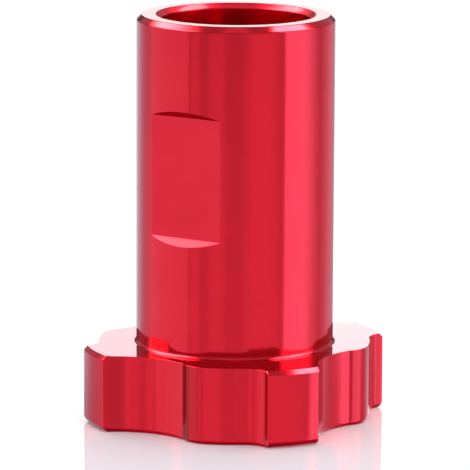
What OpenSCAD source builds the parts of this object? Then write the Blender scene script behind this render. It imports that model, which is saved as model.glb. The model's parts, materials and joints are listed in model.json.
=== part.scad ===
// Adapter between a gravity paint spray gun and a quarter-turn paint cup.
// The gun screws into the mouth at the top. The cup lid's spout enters the socket in the base, and the
// lid's catches turn over the four lobes of the flange.
// Origin: centre of the base face. +Z runs up the bore to the mouth. -Y is the front.
// An azimuth is counted from the front, towards +X.

/* [Tube] */
// Outer diameter of the tube
tube_d = 29.5; // [29:0.1:31]
// Height from the base face to the mouth
total_h = 60.8; // [58:0.1:66]
// Chamfer on the outer edge of the mouth
rim_chamfer = 0.8; // [0.4:0.1:1]
// Fillet between the tube and the flange
root_fillet = 0.45; // [0.2:0.05:0.8]

/* [Wrench flats] */
// Size across the two flats
across_flats = 27; // [26.6:0.1:28]
// Height of the lower end of each flat
flat_low = 29; // [24:0.5:32]
// Height of the upper end of each flat
flat_high = 47; // [40:0.5:50]
// Azimuth of the front flat
flat_az = -32.4; // [-45:0.1:45]
// Length of the sloped run-out at each end, for each millimetre of depth
flat_runout = 0.8; // [0.3:0.1:1.5]

/* [Gun socket] */
// Diameter of the plain mouth that guides the gun's collar
pilot_d = 22.4; // [22.2:0.1:23]
// Depth of the plain mouth
pilot_depth = 3.5; // [3:0.5:5]
// Nominal diameter of the metric thread
thread_d = 22; // [20:1:22]
// Pitch of the thread
thread_pitch = 1.5; // [1:0.5:1.5]
// Depth from the mouth to the end of the thread
thread_depth = 14; // [10:0.5:16]
// Chamfer on the inner edge of the mouth
mouth_chamfer = 0.75; // [0.4:0.05:0.9]
// Diameter of the relief behind the thread, which holds the washer captive
relief_d = 22.4; // [22.2:0.1:22.8]
// Height of the relief behind the thread
relief_h = 2.8; // [2.4:0.1:3.5]

/* [Passage and cup socket] */
// Diameter of the paint passage
passage_d = 16; // [12:0.5:17]
// Diameter of the socket for the cup lid's spout
socket_d = 24; // [22:0.5:26]
// Depth of the socket from the base face
socket_depth = 14; // [12.5:0.5:16]
// Lead-in chamfer of the socket
socket_chamfer = 1; // [0.5:0.1:1.5]

/* [Seals] */
// Inner diameter of the gun washer
washer_id = 17; // [17:0.5:19]
// Thickness of the gun washer
washer_t = 2; // [1:0.1:2.2]
// Section diameter of the cup ring
ring_section = 2.4; // [1.8:0.1:2.6]
// Height of the middle of the cup ring's groove
ring_z = 10.4; // [9:0.1:10.6]

/* [Lock flange] */
// Outer diameter over the lobes
flange_d = 46; // [45:0.1:48]
// Thickness of the flange
flange_h = 11.5; // [9:0.1:13]
// Diameter of the lands between the lobes
land_d = 40.6; // [40:0.1:41.6]
// Azimuth of the step that starts a lobe, at its outer corner
step_az = 12.5; // [10:0.5:15]
// Radius of the hollow that rises from the land to the step
step_r = 3.6; // [2.8:0.1:4.5]
// Radius of the scallop that the lid's catch enters
scallop_r = 12.5; // [12:0.1:13]
// Distance from the axis to the scallop's centre
scallop_reach = 30.2; // [29.8:0.1:30.6]
// Azimuth of the scallop's centre
scallop_az = 54.9; // [54:0.1:56]
// Cutter radius at the heel of the scallop
heel_r = 1.5; // [1:0.1:2]
// Direction in which the heel's cutter leaves the scallop
heel_az = 39; // [37:0.5:42]
// Rounding from the heel up to the land
shoulder_r = 4.3; // [3.5:0.1:5]
// Rounding of the lobe's two corners
corner_r = 0.3; // [0.2:0.05:0.6]
// Turned chamfer on the lobes' upper edge
lobe_chamfer = 0.6; // [0.3:0.1:1]
// Turned rounding of the lobes' lower edge
lobe_round = 1.1; // [0.5:0.1:1.5]

/* [Hidden] */

$fn = 120;
lobe_count = 4;
lobe_pitch = 360 / lobe_count;
tube_r = tube_d / 2;
flange_r = flange_d / 2;
land_r = land_d / 2;
pilot_r = pilot_d / 2;
relief_r = relief_d / 2;
passage_r = passage_d / 2;
socket_r = socket_d / 2;
// Wall of the bore that the thread is cut in
thread_minor_r = (thread_d - 1.0825 * thread_pitch) / 2;
thread_z = total_h - thread_depth;
// Lower end of the plain mouth, where a 45 degree lead-in narrows to the thread
pilot_z = total_h - pilot_depth;
washer_z = thread_z - relief_h;
// The groove is as deep as the ring needs to stand a little proud of the socket's wall
ring_proud = 0.5;
groove_r = socket_r + ring_section - ring_proud;
groove_h = ring_section * 1.3;
// Past the outline of the flange
far = 1.5 * flange_r;
// Past an end face
over = 1;

function polar(r, az) = r * [sin(az), -cos(az)];
function az_of(p) = atan2(p[0], -p[1]);
// Angle at the axis between a centre at distance d and a point at radius r that lies s from it
function spread(d, r, s) = acos((d * d + r * r - s * s) / (2 * d * r));

scallop_c = polar(scallop_reach, scallop_az);
heel_c = scallop_c - polar(scallop_r - heel_r, heel_az);
shoulder_at = land_r - shoulder_r;
shoulder_az = az_of(heel_c) + spread(norm(heel_c), shoulder_at, heel_r + shoulder_r);
corner_at = flange_r - corner_r;
end_az = scallop_az - spread(scallop_reach, corner_at, scallop_r + corner_r);
step_at = land_r + step_r;
land_end_az = lobe_pitch + step_az - spread(step_at, flange_r, step_r);
start_az = land_end_az + spread(step_at, corner_at, step_r + corner_r);

// A hollow of radius r about c that runs out over a rounding of radius bulge_r about bulge_c
module hollow(c, r, bulge_c, bulge_r) {
    translate(c) circle(r);
    difference() {
        polygon([c, bulge_c, polar(far, az_of(bulge_c)), polar(far, az_of(c))]);
        translate(bulge_c) circle(bulge_r);
    }
}

// What is milled away between one lobe and the next: scallop, heel, shoulder, land and step
module relief_plan() {
    hollow(scallop_c, scallop_r, polar(corner_at, end_az), corner_r);
    hollow(heel_c, heel_r, polar(shoulder_at, shoulder_az), shoulder_r);
    difference() {
        polygon([[0, 0], polar(far, scallop_az), polar(far, land_end_az)]);
        circle(land_r);
    }
    hollow(polar(step_at, land_end_az), step_r, polar(corner_at, start_az), corner_r);
}

module flange_blank() {
    rotate_extrude() difference() {
        polygon([[0, 0], [flange_r, 0], [flange_r, flange_h - lobe_chamfer],
            [flange_r - lobe_chamfer, flange_h], [0, flange_h]]);
        translate([flange_r - lobe_round, 0]) difference() {
            square(lobe_round);
            translate([0, lobe_round]) circle(lobe_round);
        }
    }
}

module lock_flange() {
    difference() {
        flange_blank();
        for (i = [0 : lobe_count - 1])
            rotate(i * lobe_pitch) translate([0, 0, -over])
                linear_extrude(flange_h + 2 * over) relief_plan();
    }
}

module tube_blank() {
    rotate_extrude()
        polygon([[0, over], [tube_r, over], [tube_r, total_h - rim_chamfer],
            [tube_r - rim_chamfer, total_h], [0, total_h]]);
    translate([0, 0, flange_h]) rotate_extrude() difference() {
        translate([tube_r - over, 0]) square([over + root_fillet, root_fillet]);
        translate([tube_r + root_fillet, root_fillet]) circle(root_fillet);
    }
}

// Everything inside: cup socket with the ring's groove, passage, relief, thread's bore and plain mouth
module inner_cut() {
    rotate_extrude() polygon([
        [0, -over],
        [socket_r + socket_chamfer + over, -over],
        [socket_r, socket_chamfer],
        [socket_r, ring_z - groove_h / 2],
        [groove_r, ring_z - groove_h / 2],
        [groove_r, ring_z + groove_h / 2],
        [socket_r, ring_z + groove_h / 2],
        [socket_r, socket_depth],
        [passage_r, socket_depth],
        [passage_r, washer_z],
        [relief_r, washer_z],
        [relief_r, thread_z],
        [thread_minor_r, thread_z],
        [thread_minor_r, pilot_z - pilot_r + thread_minor_r],
        [pilot_r, pilot_z],
        [pilot_r, total_h - mouth_chamfer],
        [pilot_r + mouth_chamfer + over, total_h + over],
        [0, total_h + over]
    ]);
}

// One wrench flat, facing the front, with a sloped run-out at each end
module flat_cut() {
    deep = tube_r - across_flats / 2 + over;
    run = deep * flat_runout;
    face = across_flats / 2;
    rotate([90, 0, -90]) linear_extrude(tube_d, center = true)
        polygon([[face, flat_low], [face, flat_high], [face + deep, flat_high + run],
            [face + deep, flat_low - run]]);
}

module adapter_body() {
    color([0.78, 0.05, 0.08]) difference() {
        union() {
            lock_flange();
            tube_blank();
        }
        inner_cut();
        for (turn = [0, 180])
            rotate(flat_az + turn) flat_cut();
    }
}

// Flat washer behind the thread, seated on the shoulder of the passage
module gun_washer() {
    color([0.93, 0.92, 0.88]) translate([0, 0, washer_z]) difference() {
        cylinder(h = washer_t, r = relief_r);
        translate([0, 0, -over]) cylinder(h = washer_t + 2 * over, d = washer_id);
    }
}

// O-ring in the socket's groove
module cup_ring() {
    color([0.07, 0.07, 0.08]) translate([0, 0, ring_z])
        rotate_extrude() translate([groove_r - ring_section / 2, 0]) circle(d = ring_section);
}

adapter_body();
gun_washer();
cup_ring();
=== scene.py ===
# Looks of the spray gun cup adapter: a red anodised body with its gun washer and cup ring, built around
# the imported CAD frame. The shape is worked out in millimetres and made in metres.
# An azimuth is counted from the front, -Y, towards +X.
import json
import math

import bmesh
import bpy
from mathutils import Matrix, Vector


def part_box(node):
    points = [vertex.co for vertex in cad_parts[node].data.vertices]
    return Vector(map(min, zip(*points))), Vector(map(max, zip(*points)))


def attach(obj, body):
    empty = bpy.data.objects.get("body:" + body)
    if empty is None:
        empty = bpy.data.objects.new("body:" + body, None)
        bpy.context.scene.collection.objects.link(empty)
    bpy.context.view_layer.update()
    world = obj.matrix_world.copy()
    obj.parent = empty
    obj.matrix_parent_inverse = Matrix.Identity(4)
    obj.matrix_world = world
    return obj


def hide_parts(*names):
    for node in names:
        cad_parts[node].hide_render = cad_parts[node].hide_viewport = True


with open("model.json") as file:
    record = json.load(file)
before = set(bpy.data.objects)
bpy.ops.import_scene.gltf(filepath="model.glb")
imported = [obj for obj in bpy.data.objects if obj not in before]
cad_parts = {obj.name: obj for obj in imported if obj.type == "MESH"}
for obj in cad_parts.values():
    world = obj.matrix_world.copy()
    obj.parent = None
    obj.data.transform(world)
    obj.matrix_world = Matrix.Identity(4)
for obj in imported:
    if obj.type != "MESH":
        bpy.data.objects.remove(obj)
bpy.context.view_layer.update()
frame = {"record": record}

MM = 0.001
MOUNTS = {mount["name"]: mount for mount in frame["record"]["mounts"]}

# ---------------------------------------------------------------- sizes, in millimetres and degrees
BODY_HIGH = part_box("adapter_body")[1] / MM
WASHER_LOW, WASHER_HIGH = (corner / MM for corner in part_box("gun_washer"))
RING_LOW, RING_HIGH = (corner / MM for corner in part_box("cup_ring"))
THREAD = MOUNTS["gun_thread"]
SOCKET = MOUNTS["cup_socket"]

# Tube
TUBE_R = 14.75
TOTAL_H = BODY_HIGH.z
RIM_CHAMFER = 0.8
ROOT_FILLET = 0.45

# Wrench flats
FLAT_REACH = math.hypot(*MOUNTS["wrench_flat_front"]["pos_m"][:2]) / MM
FLAT_LOW = 29
FLAT_HIGH = 47
FLAT_AZ = -32.4
FLAT_RUNOUT = 0.8

# Gun socket
PILOT_R = 11.2
PILOT_Z = TOTAL_H - 3.5
THREAD_R = 11
THREAD_PITCH = 1.5
THREAD_MINOR_R = THREAD["dims"]["r_mm"]
THREAD_Z = TOTAL_H - 14
MOUTH_CHAMFER = 0.75

# Thread: the azimuth at which its crest leaves the plain mouth, and where crest, flank and root end as
# shares of the pitch
THREAD_START = 60
THREAD_CREST = 0.25
THREAD_FLANK = 0.5625
THREAD_ROOT = 0.6875

# Inside, from the relief down to the base
RELIEF_R = WASHER_HIGH.x
WASHER_Z = WASHER_LOW.z
WASHER_T = WASHER_HIGH.z - WASHER_LOW.z
WASHER_HOLE_R = 8.5
PASSAGE_R = 8
SOCKET_R = SOCKET["dims"]["r_mm"]
SOCKET_DEPTH = 14
SOCKET_CHAMFER = 1
GROOVE_R = RING_HIGH.x
RING_SECTION = RING_HIGH.z - RING_LOW.z
RING_Z = (RING_HIGH.z + RING_LOW.z) / 2
GROOVE_H = RING_SECTION * 1.3

# Lock flange
FLANGE_R = 23
FLANGE_H = MOUNTS["lobe_top_face"]["pos_m"][2] / MM
LAND_R = 20.3
STEP_AZ = 12.5
STEP_R = 3.6
SCALLOP_R = 12.5
SCALLOP_REACH = 30.2
SCALLOP_AZ = 54.9
HEEL_R = 1.5
HEEL_AZ = 39
SHOULDER_R = 4.3
CORNER_R = 0.3
LOBE_CHAMFER = 0.6
LOBE_ROUND = 1.1
LOBE_COUNT = 4
LOBE_PITCH = 360 / LOBE_COUNT

# Broken edges, and how far the ring's parting line stands proud
TOP_EDGE = 0.03
BASE_EDGE = 0.4
BASE_EDGE_H = 0.9
TURNED_EDGE = 0.08
RIM_EDGE = 0.3
WASHER_EDGE = 0.15
PARTING_LINE = 0.04

# How finely curves are divided: the most degrees and millimetres in one part, and counts of parts
COLUMN_STEP = 2.5
ARC_STEP = 9
ARC_LENGTH = 0.9
EDGE_STEP = 18
EDGE_PARTS = 5
ROUNDING_PARTS = 6
FILLET_PARTS = 6
CREST_PARTS = 2
FLANK_PARTS = 3
WASHER_COLUMNS = 96
RING_COLUMNS = 120
SECTION_PARTS = 14

# An edge is sharp above this angle. Points this near each other are joined, and are level within this height.
SHARP_ANGLE = 20
MERGE_WITHIN = 0.001
LEVEL_WITHIN = 0.0001


# ---------------------------------------------------------------- plane geometry
def polar(radius, azimuth):
    turn = math.radians(azimuth)
    return Vector((radius * math.sin(turn), -radius * math.cos(turn)))


def azimuth_of(point):
    return math.degrees(math.atan2(point.x, -point.y))


def spread(distance, radius, side):
    """Angle at the axis between a centre at distance and a point at radius that lies side away from it."""
    cosine = (distance**2 + radius**2 - side**2) / (2 * distance * radius)
    return math.degrees(math.acos(cosine))


def steps(start, end, count):
    """count + 1 even values from start to end."""
    return [start + (end - start) * i / count for i in range(count + 1)]


def softened(corners, edge):
    """Profile through corners of (radius, height), with each inner corner rounded to radius edge."""
    points = [Vector(corners[0])]
    for before, corner, after in zip(corners, corners[1:], corners[2:]):
        into = (Vector(corner) - Vector(before)).normalized()
        out = (Vector(after) - Vector(corner)).normalized()
        turn = into.angle(out)
        start = Vector(corner) - into * edge * math.tan(turn / 2)
        side = (out - into * into.dot(out)).normalized()
        centre = start + side * edge
        count = max(2, math.ceil(math.degrees(turn) / EDGE_STEP))
        for angle in steps(0, turn, count):
            points.append(centre - side * edge * math.cos(angle) + into * edge * math.sin(angle))
    points.append(Vector(corners[-1]))
    return points


# ---------------------------------------------------------------- outline of the lock flange
def lobe_arcs():
    """One lobe and the relief after it, as arcs of (centre, radius, first and last direction, bend).
    bend is 1 where the metal bulges and -1 where it is hollow."""
    axis = Vector((0, 0))
    scallop = polar(SCALLOP_REACH, SCALLOP_AZ)
    heel = scallop - polar(SCALLOP_R - HEEL_R, HEEL_AZ)
    shoulder_at = LAND_R - SHOULDER_R
    shoulder_az = azimuth_of(heel) + spread(heel.length, shoulder_at, HEEL_R + SHOULDER_R)
    shoulder = polar(shoulder_at, shoulder_az)
    step_at = LAND_R + STEP_R
    step_az = STEP_AZ - spread(step_at, FLANGE_R, STEP_R)
    step_before = polar(step_at, step_az)
    step_after = polar(step_at, step_az + LOBE_PITCH)
    corner_at = FLANGE_R - CORNER_R
    start_az = step_az + spread(step_at, corner_at, STEP_R + CORNER_R)
    end_az = SCALLOP_AZ - spread(SCALLOP_REACH, corner_at, SCALLOP_R + CORNER_R)
    start = polar(corner_at, start_az)
    end = polar(corner_at, end_az)
    next_start = polar(corner_at, start_az + LOBE_PITCH)
    return [
        (start, CORNER_R, azimuth_of(step_before - start), start_az, 1),
        (axis, FLANGE_R, start_az, end_az, 1),
        (end, CORNER_R, end_az, azimuth_of(scallop - end), 1),
        (scallop, SCALLOP_R, azimuth_of(end - scallop), HEEL_AZ + 180, -1),
        (heel, HEEL_R, HEEL_AZ + 180, azimuth_of(shoulder - heel), -1),
        (shoulder, SHOULDER_R, azimuth_of(heel - shoulder), shoulder_az, 1),
        (axis, LAND_R, shoulder_az, step_az + LOBE_PITCH, 1),
        (step_after, STEP_R, step_az + LOBE_PITCH + 180, azimuth_of(next_start - step_after), -1),
    ]


def directions(radius, first, last, bend):
    """Directions along an arc, which runs towards larger azimuths if bend is 1 and smaller if it is -1."""
    sweep = ((last - first) * bend) % 360
    count = max(math.ceil(sweep / ARC_STEP), math.ceil(math.radians(sweep) * radius / ARC_LENGTH))
    return steps(first, first + sweep * bend, count)


def flange_outline(inset=0):
    """Points round the flange, counter-clockwise from above, moved into the metal by inset."""
    points = []
    for lobe in range(LOBE_COUNT):
        turn = Matrix.Rotation(math.radians(lobe * LOBE_PITCH), 2)
        for centre, radius, first, last, bend in lobe_arcs():
            reach = radius - bend * inset
            for at in directions(radius, first, last, bend)[:-1]:
                points.append(turn @ (centre + polar(reach, at)))
    return points


def blank_radius(z):
    """Radius of the turned blank at height z, with its lower rounding and upper chamfer."""
    if z < LOBE_ROUND:
        return FLANGE_R - LOBE_ROUND + math.sqrt(LOBE_ROUND**2 - (LOBE_ROUND - z) ** 2)
    return FLANGE_R - max(0, z - FLANGE_H + LOBE_CHAMFER)


def wall_levels(reach):
    """(inset, height) of each row up a milled wall that stands reach from the axis. Between the two broken
    edges lie the rows where the blank's lower rounding and upper chamfer meet the wall."""
    quarter = [math.radians(angle) for angle in steps(0, 90, EDGE_PARTS)]
    over = max(0, reach - FLANGE_R + LOBE_ROUND)
    round_top = max(BASE_EDGE_H, LOBE_ROUND - math.sqrt(max(0, LOBE_ROUND**2 - over**2)))
    chamfer_foot = min(FLANGE_H - TOP_EDGE, FLANGE_H - LOBE_CHAMFER + FLANGE_R - reach)
    low = [(BASE_EDGE * (1 - math.sin(lean)), BASE_EDGE_H * (1 - math.cos(lean))) for lean in quarter]
    ends = [math.acos(1 - z / LOBE_ROUND) for z in (BASE_EDGE_H, round_top)]
    rounding = [(0, LOBE_ROUND * (1 - math.cos(lean))) for lean in steps(*ends, ROUNDING_PARTS)[1:]]
    high = [(TOP_EDGE * (1 - math.sin(lean)), FLANGE_H - TOP_EDGE * (1 - math.cos(lean))) for lean in quarter]
    return low + rounding + [(0, chamfer_foot)] + high[::-1]


def flange_rows():
    """Rows up the side of the flange, each held inside the turned blank."""
    levels = [wall_levels(point.length) for point in flange_outline()]
    rows = []
    for k, (inset, _) in enumerate(levels[0]):
        row = []
        for point, level in zip(flange_outline(inset), levels):
            z = level[k][1]
            limit = min(1, blank_radius(z) / point.length)
            row.append((*(point * limit), z))
        rows.append(row)
    return rows


# ---------------------------------------------------------------- mesh making
class Skin:
    """Collects rows of points that go round the axis, and joins each to the next with faces."""

    def __init__(self):
        self.points = []
        self.faces = []

    def row(self, points):
        """Adds points, and returns their numbers."""
        first = len(self.points)
        self.points += [tuple(point) for point in points]
        return list(range(first, len(self.points)))

    def face(self, *corners):
        """Adds a face, leaving out a corner that is given twice."""
        self.faces.append(tuple(dict.fromkeys(corners)))

    def join(self, lower, upper):
        """Closes the band between two rows with faces."""
        for i in range(len(lower)):
            j = (i + 1) % len(lower)
            self.face(lower[i], lower[j], upper[j], upper[i])

    def rows(self, rows):
        """Adds rows, and closes the band between each and the next."""
        made = [self.row(points) for points in rows]
        for lower, upper in zip(made, made[1:]):
            self.join(lower, upper)
        return made

    def object(self, name, flat_rings=()):
        """The mesh object. At each of the heights flat_rings, two open rings are joined by a flat face."""
        mesh = bpy.data.meshes.new(name)
        mesh.from_pydata([Vector(point) * MM for point in self.points], [], self.faces)
        bm = bmesh.new()
        bm.from_mesh(mesh)
        bmesh.ops.remove_doubles(bm, verts=bm.verts, dist=MERGE_WITHIN * MM)
        for z in flat_rings:
            level = [edge for edge in bm.edges if abs(edge.verts[0].co.z - z * MM) < LEVEL_WITHIN * MM]
            open_edges = [edge for edge in level if edge.is_boundary]
            bmesh.ops.triangle_fill(bm, use_beauty=True, edges=open_edges)
        bmesh.ops.recalc_face_normals(bm, faces=bm.faces)
        for edge in bm.edges:
            edge.smooth = edge.calc_face_angle(0) < math.radians(SHARP_ANGLE)
        for face in bm.faces:
            face.smooth = True
        bm.to_mesh(mesh)
        bm.free()
        thing = bpy.data.objects.new(name, mesh)
        bpy.context.scene.collection.objects.link(thing)
        weighting = thing.modifiers.new("weighted_normals", "WEIGHTED_NORMAL")
        weighting.keep_sharp = True
        return thing


def ring_of(azimuths, radius, z):
    return [(*polar(radius, azimuth), z) for azimuth in azimuths]


# ---------------------------------------------------------------- anodised body
def body_azimuths():
    """Azimuths of the body's columns: even steps, with one on each side edge of both flats."""
    half = math.degrees(math.acos(FLAT_REACH / TUBE_R))
    marks = [FLAT_AZ - half, FLAT_AZ + half, FLAT_AZ + 180 - half, FLAT_AZ + 180 + half, FLAT_AZ + 360 - half]
    azimuths = []
    for first, last in zip(marks, marks[1:]):
        azimuths += steps(first, last, math.ceil((last - first) / COLUMN_STEP))[:-1]
    return azimuths


def across_flat(azimuth):
    """Cosine of the turn between an azimuth and the middle of the nearer flat."""
    return math.cos(math.radians((azimuth - FLAT_AZ + 90) % 180 - 90))


def flat_radius(azimuth):
    """Radius of a wrench flat's plane at an azimuth, never more than the tube's."""
    return min(TUBE_R, FLAT_REACH / across_flat(azimuth))


def flat_rise(azimuth):
    """How far the run-out of a flat reaches past the flat's end at an azimuth."""
    return FLAT_RUNOUT * max(0, TUBE_R * across_flat(azimuth) - FLAT_REACH)


def tube_rows(azimuths):
    """The tube from the foot of the root fillet up its outside, over the rim and down the plain mouth. The
    rim's profile starts above the run-outs of the flats."""
    rows = []
    for angle in steps(0, 90, FILLET_PARTS):
        lean = math.radians(angle)
        radius = TUBE_R + ROOT_FILLET * (1 - math.sin(lean))
        rows.append(ring_of(azimuths, radius, FLANGE_H + ROOT_FILLET * (1 - math.cos(lean))))
    rows.append([(*polar(TUBE_R, azimuth), FLAT_LOW - flat_rise(azimuth)) for azimuth in azimuths])
    for z in (FLAT_LOW, FLAT_HIGH):
        rows.append([(*polar(flat_radius(azimuth), azimuth), z) for azimuth in azimuths])
    rows.append([(*polar(TUBE_R, azimuth), FLAT_HIGH + flat_rise(azimuth)) for azimuth in azimuths])
    rim = [
        (TUBE_R, FLAT_HIGH + 2), (TUBE_R, TOTAL_H - RIM_CHAMFER),
        (TUBE_R - RIM_CHAMFER, TOTAL_H), (PILOT_R + MOUTH_CHAMFER, TOTAL_H),
        (PILOT_R, TOTAL_H - MOUTH_CHAMFER), (PILOT_R, PILOT_Z),
    ]
    rows += [ring_of(azimuths, radius, z) for radius, z in softened(rim, RIM_EDGE)]
    return rows


def thread_radius(azimuth, z):
    """Radius of the threaded bore, with the lead-in cone cut across the first turn."""
    along = ((PILOT_Z - z) / THREAD_PITCH + (azimuth - THREAD_START) / 360) % 1
    if along < THREAD_CREST:
        share = 0
    elif along < THREAD_FLANK:
        share = (along - THREAD_CREST) / (THREAD_FLANK - THREAD_CREST)
    elif along < THREAD_ROOT:
        share = 1
    else:
        share = (1 - along) / (1 - THREAD_ROOT)
    lead_in = PILOT_R - (PILOT_Z - z)
    return max(THREAD_MINOR_R + share * (THREAD_R - THREAD_MINOR_R), lead_in)


def thread_rows(azimuths):
    """Rows that follow the helix downwards, held between the plain mouth and the thread's end, and how
    many of them make one turn."""
    crest = steps(0, THREAD_CREST, CREST_PARTS)
    flank = steps(THREAD_CREST, THREAD_FLANK, FLANK_PARTS)
    rising = steps(THREAD_ROOT, 1, FLANK_PARTS)
    stops = crest[:-1] + flank + rising[:-1]
    turns = math.ceil((PILOT_Z - THREAD_Z) / THREAD_PITCH) + 1
    rows = []
    for stop in [turn + part for turn in range(turns) for part in stops] + [turns]:
        row = []
        for azimuth in azimuths:
            lead = (azimuth - azimuths[0]) / 360
            z = PILOT_Z + THREAD_PITCH * (lead - stop)
            z = min(PILOT_Z, max(THREAD_Z, z))
            row.append((*polar(thread_radius(azimuth, z), azimuth), z))
        rows.append(row)
    return rows, len(stops)


def inner_rows(azimuths):
    """Inside of the body below the thread: relief, washer's shoulder, passage, socket and ring groove.
    The first and last corners only say how the end faces lie, and give no rows."""
    high, low = RING_Z + GROOVE_H / 2, RING_Z - GROOVE_H / 2
    corners = [
        (THREAD_MINOR_R, THREAD_Z), (RELIEF_R, THREAD_Z), (RELIEF_R, WASHER_Z), (PASSAGE_R, WASHER_Z),
        (PASSAGE_R, SOCKET_DEPTH), (SOCKET_R, SOCKET_DEPTH), (SOCKET_R, high), (GROOVE_R, high),
        (GROOVE_R, low), (SOCKET_R, low), (SOCKET_R, SOCKET_CHAMFER), (SOCKET_R + SOCKET_CHAMFER, 0),
        (LAND_R, 0),
    ]
    profile = softened(corners, TURNED_EDGE)
    return [ring_of(azimuths, radius, z) for radius, z in profile[1:-1]]


def join_thread(skin, bore, turn_rows):
    """Joins the helical rows. The end of each meets the start of the row one turn above it."""
    ends = [row + [bore[max(0, i - turn_rows)][0]] for i, row in enumerate(bore)]
    for lower, upper in zip(ends, ends[1:]):
        for j in range(len(lower) - 1):
            skin.face(lower[j], lower[j + 1], upper[j + 1], upper[j])


def anodised_body():
    skin = Skin()
    azimuths = body_azimuths()
    outside = skin.rows(tube_rows(azimuths))
    helix, turn_rows = thread_rows(azimuths)
    bore = [skin.row(points) for points in helix]
    skin.join(outside[-1], bore[0])
    join_thread(skin, bore, turn_rows)
    inside = skin.rows(inner_rows(azimuths))
    skin.join(bore[-1], inside[0])
    skin.rows(flange_rows())
    body = skin.object("anodised_body", flat_rings=(0, FLANGE_H))
    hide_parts("adapter_body")
    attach(body, "root")
    return body


# ---------------------------------------------------------------- seals
def gun_washer():
    azimuths = steps(0, 360, WASHER_COLUMNS)[:-1]
    low, high = WASHER_Z, WASHER_Z + WASHER_T
    middle = (low + high) / 2
    corners = [(RELIEF_R, middle), (RELIEF_R, high), (WASHER_HOLE_R, high), (WASHER_HOLE_R, low),
               (RELIEF_R, low), (RELIEF_R, middle)]
    skin = Skin()
    rows = skin.rows(ring_of(azimuths, radius, z) for radius, z in softened(corners, WASHER_EDGE)[:-1])
    skin.join(rows[-1], rows[0])
    washer = skin.object("flat_washer")
    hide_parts("gun_washer")
    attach(washer, "root")
    return washer


def ring_section():
    """Points of (direction, radius) round the ring's section. The parting lines lie inside and outside, where
    the directions are close together: each is proud as far as crest, and ends at foot."""
    crest, foot, clear = 2, 5, 11
    proud = RING_SECTION / 2
    plain = proud - PARTING_LINE
    half = [(0, proud), (crest, proud), (foot, plain)]
    half += [(turn, plain) for turn in steps(clear, 180 - clear, SECTION_PARTS)]
    half += [(180 - foot, plain), (180 - crest, proud)]
    return half + [(turn + 180, reach) for turn, reach in half]


def cup_ring():
    azimuths = steps(0, 360, RING_COLUMNS)[:-1]
    middle = GROOVE_R - RING_SECTION / 2
    skin = Skin()
    rows = []
    for turn, reach in ring_section():
        lean = math.radians(turn)
        rows.append(ring_of(azimuths, middle + reach * math.cos(lean), RING_Z + reach * math.sin(lean)))
    rows = skin.rows(rows)
    skin.join(rows[-1], rows[0])
    ring = skin.object("o_ring")
    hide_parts("cup_ring")
    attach(ring, "root")
    return ring


# ---------------------------------------------------------------- nodes
def new_material(name):
    material = bpy.data.materials.new(name)
    material.use_nodes = True
    shader = material.node_tree.nodes["Principled BSDF"]
    return material, material.node_tree, shader


def feed(tree, socket, value):
    """Links a socket to value if that is a node's output, and sets it to value otherwise."""
    if isinstance(value, bpy.types.NodeSocket):
        tree.links.new(value, socket)
    else:
        socket.default_value = value


def math_node(tree, operation, *values):
    node = tree.nodes.new("ShaderNodeMath")
    node.operation = operation
    for socket, value in zip(node.inputs, values):
        feed(tree, socket, value)
    return node.outputs[0]


def mixed(tree, share, first, second):
    """Colour that goes from first to second as share goes from 0 to 1."""
    node = tree.nodes.new("ShaderNodeMix")
    node.data_type = "RGBA"
    feed(tree, node.inputs["Factor"], share)
    feed(tree, node.inputs["A"], first)
    feed(tree, node.inputs["B"], second)
    return node.outputs["Result"]


def window(tree, value, low, high, soft):
    """1 where value lies between low and high, falling to 0 over the two distances soft outside them."""
    sides = []
    for edge, far in ((low, low - soft[0]), (high, high + soft[1])):
        ramp = tree.nodes.new("ShaderNodeMapRange")
        ramp.interpolation_type = "SMOOTHSTEP"
        tree.links.new(value, ramp.inputs["Value"])
        ramp.inputs["From Min"].default_value = far
        ramp.inputs["From Max"].default_value = edge
        sides.append(ramp.outputs["Result"])
    return math_node(tree, "MULTIPLY", *sides)


class Place:
    """Where a point of the surface is: in millimetres, with its distance from the axis and its azimuth."""

    def __init__(self, tree):
        where = tree.nodes.new("ShaderNodeTexCoord")
        scale = tree.nodes.new("ShaderNodeVectorMath")
        scale.operation = "SCALE"
        scale.inputs["Scale"].default_value = 1 / MM
        tree.links.new(where.outputs["Object"], scale.inputs[0])
        parts = tree.nodes.new("ShaderNodeSeparateXYZ")
        tree.links.new(scale.outputs[0], parts.inputs[0])
        self.point = scale.outputs[0]
        self.x, self.y, self.z = parts.outputs
        across = math_node(tree, "MULTIPLY", self.x, self.x)
        self.radius = math_node(tree, "SQRT", math_node(tree, "MULTIPLY_ADD", self.y, self.y, across))
        front = math_node(tree, "MULTIPLY", self.y, -1)
        self.azimuth = math_node(tree, "DEGREES", math_node(tree, "ARCTAN2", self.x, front))


def noise(tree, place, scale, detail):
    """Noise of 0 to 1. place is a point, or a single value for parallel lines."""
    node = tree.nodes.new("ShaderNodeTexNoise")
    node.noise_dimensions = "3D" if place.type == "VECTOR" else "1D"
    tree.links.new(place, node.inputs["Vector" if place.type == "VECTOR" else "W"])
    node.inputs["Scale"].default_value = scale
    node.inputs["Detail"].default_value = detail
    node.inputs["Roughness"].default_value = 0.6
    return node.outputs["Fac"]


def around_middle(tree, value, amount):
    """Noise spread by amount to both sides of 0."""
    return math_node(tree, "MULTIPLY", math_node(tree, "SUBTRACT", value, 0.5), 2 * amount)


def either_side(tree, share, low, high):
    """Colour between low and high, half way at a share of 0."""
    return mixed(tree, math_node(tree, "ADD", share, 0.5), (*low, 1), (*high, 1))


def grain(tree, shader, height, depth):
    """Bump of the given depth in millimetres."""
    node = tree.nodes.new("ShaderNodeBump")
    node.inputs["Strength"].default_value = 1
    node.inputs["Distance"].default_value = depth * MM
    tree.links.new(height, node.inputs["Height"])
    tree.links.new(node.outputs[0], shader.inputs["Normal"])


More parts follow.
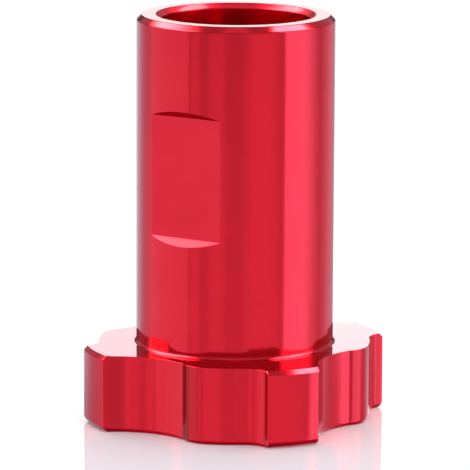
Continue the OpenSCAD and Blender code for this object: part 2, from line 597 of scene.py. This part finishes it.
# ---------------------------------------------------------------- materials
# Radius of the face mill that cut the wrench flats
FACE_MILL_R = 20
# Azimuths of the shade painted into the milled wall's creases. The first four are counted from a multiple of
# the lobes' pitch.
HEEL_CREASE = (67.2, 69.9)
BESIDE_HEEL = (69.2, 73.5)
STEP_HEAD = (STEP_AZ - 1, STEP_AZ - 0.4)
SCALLOP_END = (30.6, 35)
RIGHT_HEEL = (40, 120)


def milled_wall(tree, place):
    """How much of a point lies on the flange's milled wall, between the tube and the blank's turned side."""
    across = window(tree, place.radius, TUBE_R + 2, FLANGE_R - 0.1, (0.2, 0.05))
    up = window(tree, place.z, 0.3, FLANGE_H - 0.15, (0.2, 0.05))
    return math_node(tree, "MULTIPLY", across, up)


def wrench_flats(tree, place):
    """How much of a point lies on a wrench flat or its run-outs, nearer the axis than the tube's wall."""
    across = window(tree, place.radius, FLAT_REACH - 0.2, TUBE_R - 0.03, (0.1, 0.02))
    up = window(tree, place.z, FLAT_LOW - 1.2, FLAT_HIGH + 1.2, (0.1, 0.1))
    return math_node(tree, "MULTIPLY", across, up)


def mill_arcs(tree, place):
    """Height at which the arc that a face mill leaves through a point crosses the middle of a flat, but for a
    constant."""
    turn = math.radians(FLAT_AZ)
    along = math_node(tree, "MULTIPLY", place.x, math.cos(turn))
    along = math_node(tree, "MULTIPLY_ADD", place.y, math.sin(turn), along)
    squared = math_node(tree, "MULTIPLY", along, along)
    bow = math_node(tree, "SQRT", math_node(tree, "SUBTRACT", FACE_MILL_R**2, squared))
    return math_node(tree, "ADD", place.z, bow)


def cutter_marks(tree, place, wall, flat):
    """Height of the marks left by the tools. Turned faces have fine lines round the axis, the milled wall has
    upright lines, and a wrench flat has the arcs of a face mill."""
    turned = noise(tree, math_node(tree, "ADD", place.z, place.radius), 4.5, 3)
    upright = noise(tree, place.azimuth, 1.1, 3)
    arcs = noise(tree, mill_arcs(tree, place), 2.2, 2)
    left = math_node(tree, "SUBTRACT", 1, math_node(tree, "MAXIMUM", wall, flat))
    height = math_node(tree, "MULTIPLY", left, around_middle(tree, turned, 0.25))
    height = math_node(tree, "MULTIPLY_ADD", wall, around_middle(tree, upright, 1), height)
    return math_node(tree, "MULTIPLY_ADD", flat, around_middle(tree, arcs, 0.5), height)


def crease_shade_amount(tree, place):
    """How much shade is painted into the milled wall's upright creases: most at the heel of each scallop, and
    less beside it, at the head of each step and at the near end of each scallop. The right heel has less."""
    along = math_node(tree, "FLOORED_MODULO", place.azimuth, LOBE_PITCH)
    heel = window(tree, along, *HEEL_CREASE, (2.4, 1.6))
    beside = window(tree, along, *BESIDE_HEEL, (1, 2.5))
    right = window(tree, place.azimuth, *RIGHT_HEEL, (20, 20))
    step = window(tree, along, *STEP_HEAD, (0.4, 0.3))
    end = window(tree, along, *SCALLOP_END, (0.4, 3.5))
    heel = math_node(tree, "MAXIMUM", heel, math_node(tree, "MULTIPLY", beside, 0.4))
    heel = math_node(tree, "MULTIPLY", heel, math_node(tree, "MULTIPLY_ADD", right, -0.6, 1))
    step = math_node(tree, "MULTIPLY", step, 0.6)
    end = math_node(tree, "MULTIPLY", end, 0.3)
    return math_node(tree, "MAXIMUM", heel, math_node(tree, "MAXIMUM", step, end))


def red_anodised():
    """Bright red dye over aluminium. The dye is cloudy and streaked round the milled wall, its creases are
    darkened with painted shade, and the metal is a little rougher inside the mouth and on its chamfer."""
    dark, bright = (0.565, 0.0062, 0.021), (0.675, 0.0088, 0.027)
    painted_shade_red = (0.28, 0.0003, 0.004)
    material, tree, shader = new_material("red_anodised")
    place = Place(tree)
    wall = milled_wall(tree, place)
    clouds = around_middle(tree, noise(tree, place.point, 0.14, 3), 0.5)
    streaks = around_middle(tree, noise(tree, place.azimuth, 0.55, 4), 0.6)
    dye = either_side(tree, math_node(tree, "MULTIPLY_ADD", streaks, wall, clouds), dark, bright)
    # Painted shade: the creases of the milled wall are mixed towards a near-black red
    painted_shade = math_node(tree, "MULTIPLY", wall, crease_shade_amount(tree, place))
    tree.links.new(mixed(tree, painted_shade, dye, (*painted_shade_red, 1)), shader.inputs["Base Color"])
    mouth = window(tree, place.radius, 0, PILOT_R + 0.05, (1, 0.05))
    chamfer = window(tree, place.radius, PILOT_R + 0.1, PILOT_R + MOUTH_CHAMFER, (0.05, 0.05))
    smudges = around_middle(tree, noise(tree, place.point, 0.3, 4), 0.03)
    rough = math_node(tree, "ADD", smudges, 0.12)
    for area, more in ((wall, 0.01), (mouth, 0.09), (chamfer, 0.16)):
        rough = math_node(tree, "MULTIPLY_ADD", area, more, rough)
    tree.links.new(rough, shader.inputs["Roughness"])
    shader.inputs["Metallic"].default_value = 1
    shader.inputs["Specular Tint"].default_value = (1, 0.72, 0.80, 1)
    shader.inputs["Coat Weight"].default_value = 0.18
    shader.inputs["Coat IOR"].default_value = 1.6
    shader.inputs["Coat Roughness"].default_value = 0.08
    grain(tree, shader, cutter_marks(tree, place, wall, wrench_flats(tree, place)), 0.001)
    return material


def washer_plastic():
    """Ivory plastic, faintly mottled, with fine turned lines."""
    material, tree, shader = new_material("washer_plastic")
    place = Place(tree)
    mottling = around_middle(tree, noise(tree, place.point, 0.8, 4), 0.9)
    colour = either_side(tree, mottling, (0.80, 0.77, 0.68), (0.88, 0.865, 0.80))
    tree.links.new(colour, shader.inputs["Base Color"])
    turned = noise(tree, math_node(tree, "ADD", place.z, place.radius), 6, 3)
    rough = math_node(tree, "ADD", around_middle(tree, turned, 0.06), 0.42)
    tree.links.new(rough, shader.inputs["Roughness"])
    shader.inputs["Subsurface Weight"].default_value = 0.12
    shader.inputs["Subsurface Scale"].default_value = 0.4 * MM
    grain(tree, shader, turned, 0.004)
    return material


def ring_rubber():
    """Black rubber with a faint bloom, glossier where the grease is thick."""
    material, tree, shader = new_material("ring_rubber")
    place = Place(tree)
    bloom = around_middle(tree, noise(tree, place.point, 0.9, 4), 0.8)
    colour = either_side(tree, bloom, (0.008, 0.008, 0.009), (0.017, 0.017, 0.018))
    tree.links.new(colour, shader.inputs["Base Color"])
    grease = around_middle(tree, noise(tree, place.point, 0.45, 3), 0.18)
    tree.links.new(math_node(tree, "ADD", grease, 0.38), shader.inputs["Roughness"])
    grain(tree, shader, noise(tree, place.point, 9, 3), 0.006)
    return material


# ---------------------------------------------------------------- studio
# Floor: half its width, and how far it lies under the base, in metres
FLOOR_HALF = 3
FLOOR_GAP = 0.00002
# Camera: its place in metres, its lens and sensor in millimetres, and its turn down and about its own axis
CAMERA_PLACE = (0, -0.65197, 0.15249)
CAMERA_LENS = 340.35
CAMERA_SENSOR = 36
LOOKDOWN = 10.857
ROLL = 0.28075


class Surroundings:
    """What the object's gloss sees, added up from patches of light by direction."""

    def __init__(self, tree):
        self.tree = tree
        where = tree.nodes.new("ShaderNodeTexCoord")
        parts = tree.nodes.new("ShaderNodeSeparateXYZ")
        tree.links.new(where.outputs["Generated"], parts.inputs[0])
        x, y, z = parts.outputs
        front = math_node(tree, "MULTIPLY", y, -1)
        self.azimuth = math_node(tree, "DEGREES", math_node(tree, "ARCTAN2", x, front))
        self.elevation = math_node(tree, "DEGREES", math_node(tree, "ARCSINE", z))
        self.total = tree.nodes.new("ShaderNodeRGB").outputs[0]
        self.total.default_value = (0, 0, 0, 1)

    def light(self, radiance, elevation, blur=(10, 10), azimuth=(-180, 180), fade=(1, 1), tint=(1, 1, 1)):
        """Adds a patch between two azimuths and two elevations. fade and blur are the widths of its sides."""
        across = window(self.tree, self.azimuth, *azimuth, fade)
        up = window(self.tree, self.elevation, *elevation, blur)
        colour = self.tree.nodes.new("ShaderNodeVectorMath")
        colour.operation = "SCALE"
        colour.inputs[0].default_value = Vector(tint) * radiance
        self.tree.links.new(math_node(self.tree, "MULTIPLY", across, up), colour.inputs["Scale"])
        add = self.tree.nodes.new("ShaderNodeVectorMath")
        add.operation = "ADD"
        self.tree.links.new(self.total, add.inputs[0])
        self.tree.links.new(colour.outputs[0], add.inputs[1])
        self.total = add.outputs[0]


def room(around):
    """Walls all round, brightest low down in front and cooler behind, and a pale patch of ceiling."""
    walls = {"elevation": (-28, -6), "blur": (12, 10)}
    ceiling = {"elevation": (4, 90), "blur": (10, 1)}
    behind_left = {"azimuth": (-180, -150), "fade": (1, 25)}
    behind_right = {"azimuth": (137, 180), "fade": (22, 1)}
    around.light(0.30, **walls)
    around.light(0.27, azimuth=(-145, 145), fade=(20, 20), **walls)
    around.light(0.15, **ceiling)
    around.light(0.42, azimuth=(-150, 156), fade=(10, 8), **ceiling)
    around.light(0.35, elevation=(-12.4, -6), blur=(0.6, 6), tint=(0.4, 1, 1.2), **behind_left)
    around.light(0.2, elevation=(-28, -13), blur=(12, 0.6), tint=(0.15, 1, 1.2), **behind_left)
    around.light(0.3, elevation=(-28, -6), blur=(12, 6), tint=(0.85, 0.8, 1), **behind_right)
    around.light(0.34, azimuth=(-115, 105), fade=(27, 30), elevation=(-28, -12), blur=(12, 8))
    around.light(0.40, azimuth=(-35, 35), fade=(25, 25), elevation=(68, 90), blur=(10, 1))


def red_floor(around):
    """Floor close to the object, which is red from the object itself."""
    reddened = (1, 0.25, 0.45)
    around.light(0.18, elevation=(-90, -40), blur=(1, 12), tint=reddened)
    around.light(0.45, azimuth=(-140, 140), fade=(30, 30), elevation=(-46, -40), blur=(42, 12), tint=reddened)


def left_side(around):
    """Side wall, paler at its top, two narrow strips between it and the front, and the window above it."""
    pale = (1, 1.6, 1.6)
    around.light(0.25, azimuth=(-112, -57), fade=(8, 2), elevation=(-28, -2), tint=(1, 2.4, 2))
    around.light(0.08, azimuth=(-108, -57), fade=(12, 2), elevation=(-9, -2), blur=(2, 10), tint=pale)
    around.light(0.17, azimuth=(-52, -44), fade=(2, 3), elevation=(-28, -2))
    around.light(0.17, azimuth=(-28, -14), fade=(6, 4), elevation=(-28, -2))
    around.light(1.5, azimuth=(-118, -86), fade=(5, 5), elevation=(5, 30), blur=(5, 10))


def right_side(around):
    """Side wall, and a softbox in three parts: the flange mirrors the low one, the tube the middle one, which
    fades slowly towards the back, and the chamfers mirror the high one."""
    softbox = (0.34, 1, 1)
    around.light(0.13, azimuth=(12, 50), fade=(5, 6), elevation=(-28, -2))
    around.light(0.15, azimuth=(22, 38), fade=(8, 14), elevation=(-12, -2), blur=(0.6, 10))
    around.light(2.4, azimuth=(59.6, 87), fade=(3, 14), elevation=(-28, -12.9), blur=(12, 0.9), tint=softbox)
    around.light(2.4, azimuth=(60.2, 83), fade=(2, 34), elevation=(-12, -3), blur=(0.9, 5), tint=softbox)
    around.light(2.2, azimuth=(60.2, 90), fade=(8, 20), elevation=(2, 40), blur=(5, 10))


def background(around):
    """Bright background behind the object. The flange's top and the rim's top mirror it, and so do the
    outlines of the tube and the flange's right outline."""
    flange_top = {"elevation": (11, 16), "blur": (2, 9)}
    rim_top = {"elevation": (3, 9), "blur": (5, 2)}
    tube = {"elevation": (-12.3, -2), "blur": (0.8, 5)}
    flange = {"elevation": (-28, -12.8), "blur": (12, 0.5)}
    left = {"azimuth": (-180, -172), "fade": (1, 5)}
    right = {"azimuth": (174, 180), "fade": (5, 1)}
    around.light(2.2, tint=(0.64, 1.38, 1.23), **left, **flange_top)
    around.light(2.2, tint=(0.74, 1.6, 1.43), **right, **flange_top)
    for side in (left, right):
        around.light(2.2, tint=(0.62, 0.82, 0.76), **side, **rim_top)
    around.light(0.4, azimuth=(-180, -162), fade=(1, 10), tint=(0.6, 1, 0.7), **tube)
    around.light(0.4, azimuth=(170, 180), fade=(10, 1), tint=(0.6, 1, 0.7), **tube)
    around.light(0.8, azimuth=(164, 180), fade=(5, 1), tint=(1, 0.75, 0.7), **flange)
    # Cool light that the tube mirrors a little inside its outlines
    around.light(0.32, azimuth=(-154, -120), fade=(12, 8), tint=(0.2, 1, 1), **tube)
    around.light(0.12, azimuth=(122, 140), fade=(6, 8), tint=(0.9, 1.2, 1.3), **tube)


def lamps(around):
    """Lamps above, one on the left and one on the right."""
    lamp = (1.3, 1.3, 1)
    around.light(14, azimuth=(-140, -72), fade=(5, 14), elevation=(42, 43), blur=(15, 26), tint=lamp)
    around.light(15, azimuth=(86, 119), fade=(5, 7), elevation=(40, 64), blur=(7, 4), tint=lamp)


def studio_world():
    """Plain even light for the camera and for matt surfaces, and the surroundings for gloss."""
    even = (1.15, 1.15, 1.15)
    world = bpy.data.worlds.new("studio")
    world.use_nodes = True
    tree = world.node_tree
    around = Surroundings(tree)
    for part in (room, red_floor, left_side, right_side, background, lamps):
        part(around)
    path = tree.nodes.new("ShaderNodeLightPath")
    plain = math_node(tree, "MAXIMUM", path.outputs["Is Camera Ray"], path.outputs["Is Diffuse Ray"])
    shown = mixed(tree, plain, around.total, (*even, 1))
    tree.links.new(shown, tree.nodes["Background"].inputs["Color"])
    bpy.context.scene.world = world
    # What a ray finds depends on its kind, so no map of the bright directions would serve them all
    world.cycles.sampling_method = "NONE"


def floor_material():
    """Pale matt floor with a faint polish."""
    material = bpy.data.materials.new("floor")
    material.use_nodes = True
    tree = material.node_tree
    tree.nodes.clear()
    out = tree.nodes.new("ShaderNodeOutputMaterial")
    matte = tree.nodes.new("ShaderNodeBsdfDiffuse")
    matte.inputs["Color"].default_value = (0.87, 0.885, 0.94, 1)
    gloss = tree.nodes.new("ShaderNodeBsdfGlossy")
    gloss.inputs["Roughness"].default_value = 0.03
    mix = tree.nodes.new("ShaderNodeMixShader")
    mix.inputs[0].default_value = 0.155
    tree.links.new(matte.outputs[0], mix.inputs[1])
    tree.links.new(gloss.outputs[0], mix.inputs[2])
    tree.links.new(mix.outputs[0], out.inputs[0])
    return material


def studio_floor():
    """Floor just under the base. Gloss doesn't see it, because the surroundings have a floor of their own."""
    corners = [(-1, -1), (1, -1), (1, 1), (-1, 1)]
    mesh = bpy.data.meshes.new("floor")
    mesh.from_pydata([(x * FLOOR_HALF, y * FLOOR_HALF, 0) for x, y in corners], [], [(0, 1, 2, 3)])
    mesh.materials.append(floor_material())
    floor = bpy.data.objects.new("floor", mesh)
    bpy.context.scene.collection.objects.link(floor)
    floor.visible_glossy = False
    floor.location.z = -FLOOR_GAP


def studio_camera():
    """Camera in front of the object, a little above it."""
    camera = bpy.data.objects.new("camera", bpy.data.cameras.new("camera"))
    bpy.context.scene.collection.objects.link(camera)
    camera.data.sensor_width = CAMERA_SENSOR
    camera.data.lens = CAMERA_LENS
    turn = Matrix.Rotation(math.radians(90 - LOOKDOWN), 4, "X") @ Matrix.Rotation(math.radians(ROLL), 4, "Z")
    camera.matrix_world = Matrix.Translation(CAMERA_PLACE) @ turn
    bpy.context.scene.camera = camera


# ---------------------------------------------------------------- assembly
body = anodised_body()
body.data.materials.append(red_anodised())
washer = gun_washer()
washer.data.materials.append(washer_plastic())
ring = cup_ring()
ring.data.materials.append(ring_rubber())
studio_world()
studio_floor()
studio_camera()
bpy.context.scene.view_settings.view_transform = "Standard"
